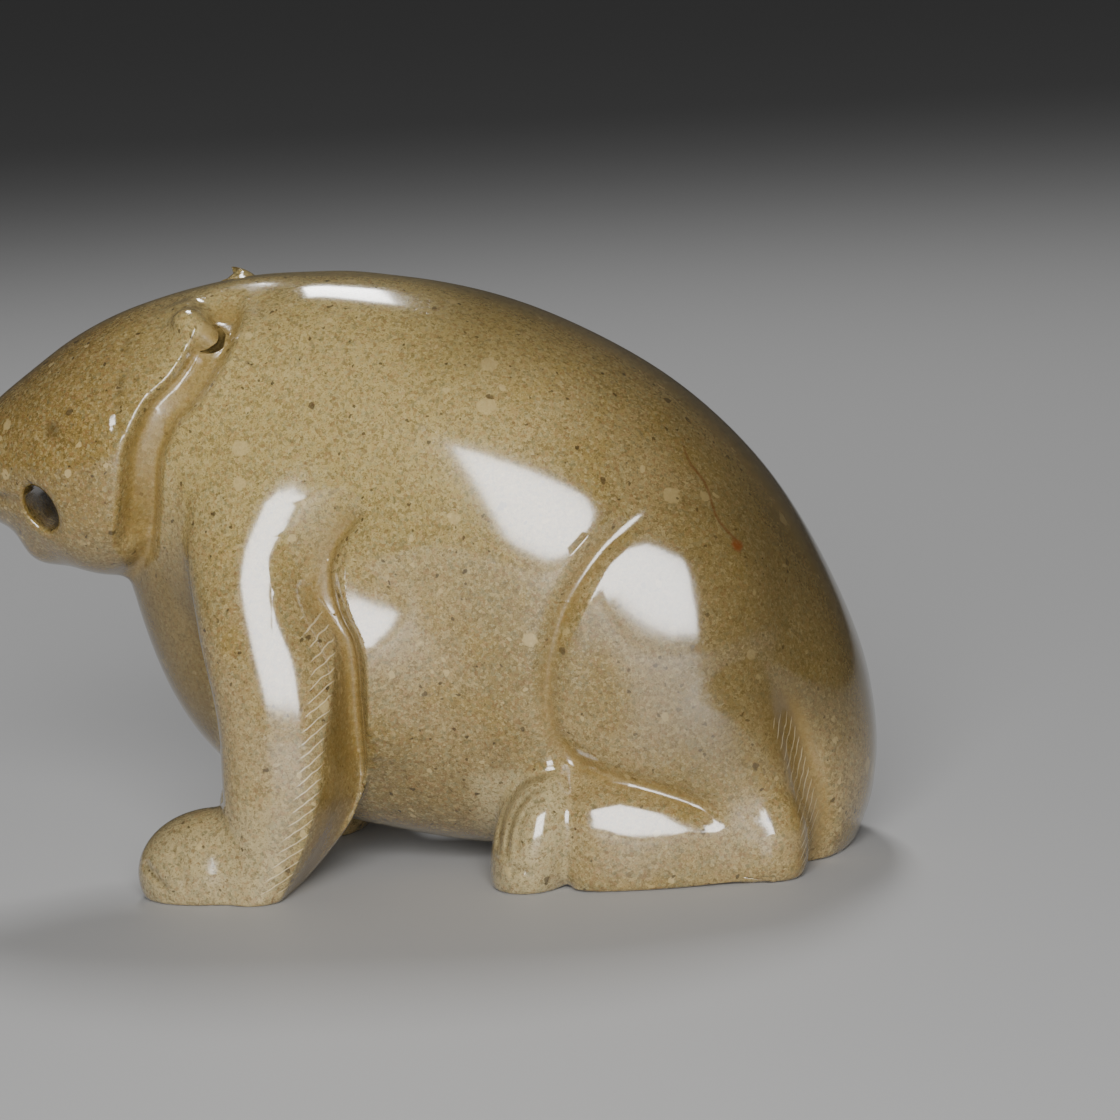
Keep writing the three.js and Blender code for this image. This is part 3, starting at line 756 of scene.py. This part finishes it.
colour = noise(0.09, 3).step(0.38, 0.62).mix(srgb(142, 124, 78), srgb(162, 142, 98))
colour = paint(colour, [
    ((150, 126, 64), 0.5, noise(0.28, 3).step(0.50, 0.68)),
    ((190, 172, 112), 0.6, neck_and_back),
    # painted shade under the belly
    ((116, 100, 60), 0.5, belly_shade),
    ((128, 104, 46), 0.7, on_head),
    ((188, 174, 134), 0.7, on_forefoot),
    ((200, 186, 144), 0.7, on_toes),
])
print("ground colour and six layers over it")

# %% [markdown]
# ## Grains, pebbles and specks
# Close up the stone is sand that has grown together. Cells give each grain its own tone, and
# two sizes of noise break them up. Cream pebbles and black specks are rarer, so a spot is
# drawn only in those cells whose random number passes a limit, the larger the further it
# passes. A little noise in their coordinates keeps the spots from being perfect circles.

# %% Grains
GRAINS_PER_MM = 4.2
grain = start.make("ShaderNodeTexVoronoi", {}, {"Vector": place, "Scale": GRAINS_PER_MM}, "Color")
grain_tone = part_of(grain, RED)
fine, medium = noise(8.0, 3), noise(2.4, 2)
colour = paint(colour, [
    ((200, 184, 136), 0.36, grain_tone.step(0.60, 1.0)),
    ((88, 74, 38), 0.46, grain_tone.step(0.40, 0.0)),
    ((210, 196, 150), 0.34, fine.step(0.55, 0.70)),
    ((78, 64, 32), 0.55, fine.step(0.47, 0.32)),
    ((180, 150, 92), 0.25, medium.step(0.55, 0.72)),
    ((150, 108, 72), 0.30, part_of(grain, GREEN).step(0.72, 0.9)),
    ((126, 132, 104), 0.28, part_of(grain, BLUE).step(0.74, 0.9)),
    ((92, 72, 40), 0.40, medium.step(0.42, 0.28)),
])
print("grains in eight tones")

# %% Pebbles and specks, a darker crest, and painted shade on rump and chest
UNEVEN = 0.7
uneven_place = start.make("ShaderNodeVectorMath", {"operation": "MULTIPLY_ADD"},
                          {0: noise(1.6, 2, "Color"), 1: (UNEVEN, UNEVEN, UNEVEN), 2: place})


def spots(scale, channel, rarity, radius):
    """Round spots in some cells of a lattice, the larger the further a cell passes the rarity."""
    lattice = {"Vector": uneven_place, "Scale": scale}
    chance = part_of(start.make("ShaderNodeTexVoronoi", {}, lattice, "Color"), channel)
    away = start.make("ShaderNodeTexVoronoi", {}, lattice, "Distance")
    edge = away - chance.step(rarity, 1.0) * radius
    return edge.step(0.03, -0.03) * chance.step(rarity, rarity + 0.05)


colour = paint(colour, [
    ((200, 180, 128), 0.6, spots(0.36, RED, 0.70, 0.25)),
    ((206, 186, 134), 0.6, spots(0.95, RED, 0.84, 0.30)),
    ((60, 46, 28), 0.7, spots(0.62, BLUE, 0.80, 0.20)),
    ((52, 40, 24), 0.72, spots(1.25, GREEN, 0.60, 0.22)),
    # painted shade on the low rump
    ((80, 66, 32), 0.66, rump_shade),
    ((88, 72, 36), 0.55, on_crest),
    # painted shade on the chest under the head
    ((98, 82, 46), 0.65, chest_shade),
])
print("two sizes of pebbles, two of specks, and three darker parts")

# %% [markdown]
# ## Marks of carving and age, and painted shade in the cuts
# The grooves are tinted amber, partly patina and partly painted shade in the hollows. The thin
# lines are darkened with painted shade, and the eye with a brown stain. The hatched strokes are
# white scratches through the polish, beside the foreleg's edge and the hock. They are bands
# across the stored strips, a little uneven, since they were cut by hand. One rusty spot with a
# hairline marks the haunch.

# %% Amber grooves (patina and painted shade), shaded thin lines, hatched strokes and the rusty spot
LEG_SPACING, LEG_HATCH_SLANT = 1.05, 0.84
HOCK_SPACING, HOCK_HATCH_SLANT = 0.85, 2.2
RUSTY_SPOT = (26.8, -12.6, 26.3)

groove = stored("groove")
uneven = noise(0.8, 1) * 0.5
leg_lines = (height + stored("leg_away") * LEG_HATCH_SLANT + uneven) / LEG_SPACING
hock_lines = (height + stored("hock_away") * HOCK_HATCH_SLANT + uneven) / HOCK_SPACING
hatch = (leg_lines.wave().step(0.09, 0.03) * stored("leg_strip")
         + hock_lines.wave().step(0.10, 0.04) * stored("hock_strip"))
hairline = stored("hairline_away").size().step(0.13, 0.03) * stored("hairline_part")
from_spot = start.make("ShaderNodeVectorMath", {"operation": "DISTANCE"},
                       {0: uneven_place, 1: RUSTY_SPOT}, "Value")
colour = paint(colour, [
    # amber in the grooves: partly patina, partly painted shade in the hollows
    ((134, 108, 50), 0.5, groove.step(0.15, 0.9)),
    # painted shade in the thin lines, and a brown stain in the eye
    ((74, 60, 32), 0.5, stored("thin_line").step(0.2, 0.9)),
    ((214, 200, 164), 0.75, hatch),
    ((96, 60, 28), 0.6, hairline),
    ((112, 58, 22), 0.85, from_spot.step(0.85, 0.35)),
])
print("hatched strokes every", LEG_SPACING, "mm on the leg and", HOCK_SPACING, "mm on the hock")

# %% [markdown]
# ## Polish
# A polished stone shows its depth: light goes a little way in and comes back darker and
# warmer, so the whole colour is deepened. The polish is sharp, with the grain just felt under
# it, and it is duller in the grooves and torn by the hatching. A bump thinner than a hair
# does that without changing the outline.

# %% Polish, with the grain just felt under it
DEEPEN = (0.87, 0.84, 0.79)
BUMP_HEIGHT = 0.02 * MM

deep_colour = start.make("ShaderNodeVectorMath", {"operation": "MULTIPLY"}, {0: colour, 1: DEEPEN})
roughness = 0.11 + fine * 0.04 + groove * 0.10 + hatch * 0.3
pits = fine * 0.25 + grain_tone * 0.35 - hatch * 2.5
bump = start.make("ShaderNodeBump", {}, {"Height": pits, "Strength": 0.16, "Distance": BUMP_HEIGHT},
                  "Normal")
for name, signal in (("Base Color", deep_colour), ("Roughness", roughness), ("Normal", bump)):
    stone.node_tree.links.new(signal.socket, shader.inputs[name])
for name, value in (("IOR", 1.72), ("Coat Weight", 0.2), ("Coat Roughness", 0.05)):
    shader.inputs[name].default_value = value
print("stone nodes:", len(stone.node_tree.nodes))

# %% Put the stone on the bear
bear.data.materials.clear()
bear.data.materials.append(stone)
bpy.ops.object.select_all(action="DESELECT")
bear.select_set(True)
bpy.context.view_layer.objects.active = bear
bpy.ops.object.shade_smooth()
print(bear.name, "is made of", bear.data.materials[0].name)

# %% [markdown]
# ## Floor
# The bear stands on a plain pale floor. It isn't part of the object. It is large enough that
# its edge stays out of every view, and matt, so that it shows a soft shadow and no mirror image.

# %% Floor
FLOOR_SIZE = 6.0

bpy.ops.object.select_all(action="DESELECT")
bpy.ops.mesh.primitive_plane_add(size=FLOOR_SIZE, location=(0, 0, 0))
floor = bpy.context.object
floor.name = "floor"
floor_finish = bpy.data.materials.new("pale_floor")
floor_finish.use_nodes = True
floor_shader = floor_finish.node_tree.nodes["Principled BSDF"]
floor_shader.inputs["Base Color"].default_value = (0.5, 0.5, 0.5, 1)
floor_shader.inputs["Roughness"].default_value = 0.6
floor.data.materials.append(floor_finish)
print("floor", FLOOR_SIZE, "m wide")

# %% [markdown]
# ## Camera
# The photograph was taken from close by, a little above the bear and nearly square on, with
# the camera rolled slightly. The camera here is set by what it looks at, how far away it is,
# and three angles, which are easier to match to a photograph than a place and a turn.

# %% Camera
TARGET = Vector((11.5, 0, 23.5)) * MM
DISTANCE = 400 * MM
YAW, RISE, ROLL = math.radians(6), math.radians(8.5), math.radians(3.2)
FOCAL_PIXELS, FRAME_PIXELS, SENSOR = 5000, 1120, 36.0


def look_at_target():
    back = Vector((math.sin(YAW) * math.cos(RISE), -math.cos(YAW) * math.cos(RISE), math.sin(RISE)))
    level = Vector((math.cos(YAW), math.sin(YAW), 0))
    upright = back.cross(level)
    right = level * math.cos(ROLL) - upright * math.sin(ROLL)
    up = level * math.sin(ROLL) + upright * math.cos(ROLL)
    turn = Matrix((right, up, back)).transposed()
    return Matrix.Translation(TARGET + back * DISTANCE) @ turn.to_4x4()


bpy.ops.object.camera_add()
camera = bpy.context.object
camera.name = "photo_camera"
camera.matrix_world = look_at_target()
camera.data.sensor_width = SENSOR
camera.data.lens = FOCAL_PIXELS / FRAME_PIXELS * SENSOR
camera.data.clip_start, camera.data.clip_end = 0.01, 20
bpy.context.scene.camera = camera
print("lens", round(camera.data.lens), "mm")

# %% [markdown]
# ## Light
# A polished stone is drawn by what it mirrors. One large square softbox in front and a little
# above gives the clear highlights on flank, thigh and legs. A narrow one behind and above
# lights the back line, and an even, dim room fills the rest.

# %% Light
BEAR_MIDDLE = Vector((0, 0, 24)) * MM
BOX_DISTANCE = 600 * MM
ROOM_GREY, ROOM_STRENGTH = (0.5, 0.5, 0.5, 1), 0.10


def softbox(name, direction, size, power):
    towards = Vector(direction).normalized()
    bpy.ops.object.light_add(type="AREA", location=BEAR_MIDDLE + towards * BOX_DISTANCE)
    light = bpy.context.object
    light.name = name
    light.rotation_mode = "QUATERNION"
    light.rotation_quaternion = towards.to_track_quat("Z", "Y")
    light.data.shape = "RECTANGLE"
    light.data.size, light.data.size_y = size[0] * MM, size[1] * MM
    light.data.energy = power
    print(name, size[0], "by", size[1], "mm,", power, "W")


softbox("key_softbox", (0.083, -0.953, 0.292), (300, 300), 5.0)
softbox("back_softbox", (-0.10, 0.62, 0.78), (90, 190), 1.4)
world = bpy.data.worlds.new("room")
bpy.context.scene.world = world
world.use_nodes = True
world.node_tree.nodes["Background"].inputs["Color"].default_value = ROOM_GREY
world.node_tree.nodes["Background"].inputs["Strength"].default_value = ROOM_STRENGTH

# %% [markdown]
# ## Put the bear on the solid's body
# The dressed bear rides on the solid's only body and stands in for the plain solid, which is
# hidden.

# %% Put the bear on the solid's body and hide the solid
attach(bear, "root")
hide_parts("bear")
